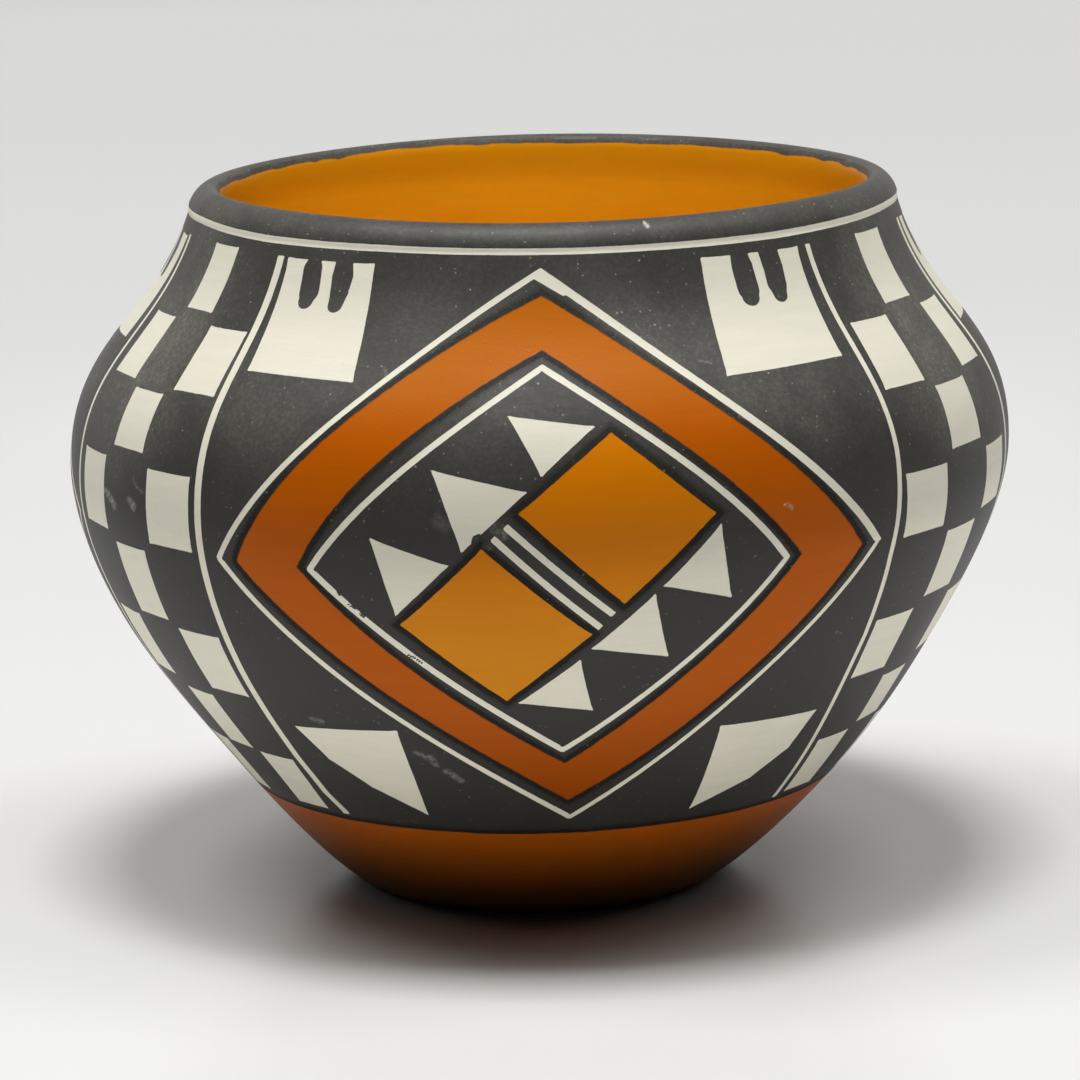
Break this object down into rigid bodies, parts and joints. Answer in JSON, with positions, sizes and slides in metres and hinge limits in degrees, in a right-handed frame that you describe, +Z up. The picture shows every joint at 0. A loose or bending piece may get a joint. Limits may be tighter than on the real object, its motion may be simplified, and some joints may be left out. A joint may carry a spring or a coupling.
{
  "type": "pueblo pottery bowl",
  "caption": "Hand-coiled earthenware bowl with a round belly, narrow foot, short neck and rolled lip, painted in black, cream, rust and ochre slips, for holding or display.",
  "frame": {"origin": "on the resting surface, under the centre of the belly", "axes": "+Z up through the mouth, -Y towards the viewer of the pictured side, +X to that viewer's right"},
  "size_m": [0.1805, 0.1794, 0.137],
  "materials": {
    "ochre_slip": "yellow-ochre slip, stone-polished, soft sheen",
    "painted_wall": "matte black paint around cream slip, rust and ochre figures, with an ochre inside",
    "black_rim": "matte black paint over the lip, ochre below it inside"
  },
  "bodies": {
    "root": {"base_dish": "ochre_slip", "wall_coil_1": "painted_wall", "wall_coil_2": "painted_wall", "wall_coil_3": "painted_wall", "wall_coil_4": "painted_wall", "wall_coil_5": "painted_wall", "wall_coil_6": "painted_wall", "wall_coil_7": "painted_wall", "rim_coil": "black_rim"}
  },
  "joints": []
}
